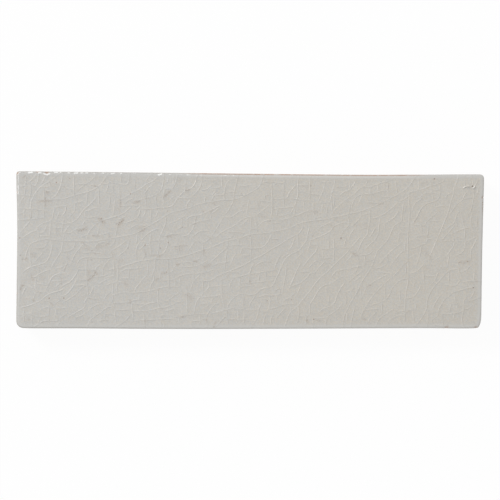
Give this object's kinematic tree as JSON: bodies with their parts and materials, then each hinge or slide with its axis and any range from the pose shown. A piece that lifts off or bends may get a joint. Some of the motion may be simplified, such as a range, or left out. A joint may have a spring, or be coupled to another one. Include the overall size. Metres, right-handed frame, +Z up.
{
  "type": "field tile",
  "caption": "Rectangular crackle-glazed ceramic field tile, three times as long as wide, with a rolled glazed rim, bare clay sides and a grooved back for adhesive.",
  "frame": {"origin": "middle of the outline's bounding box, on the bedding plane", "axes": "+X along the tile's length to the picture's right, +Y across it to the picture's top, +Z up out of the glazed face"},
  "size_m": [0.1524, 0.0514, 0.0095],
  "materials": {
    "crackle_glaze": "pale warm grey satin glaze with raised crackle lines, over a terracotta-coloured clay that shows on the sides, the back and the thin places of the rim"
  },
  "bodies": {
    "root": {"tile": "crackle_glaze"}
  },
  "joints": []
}
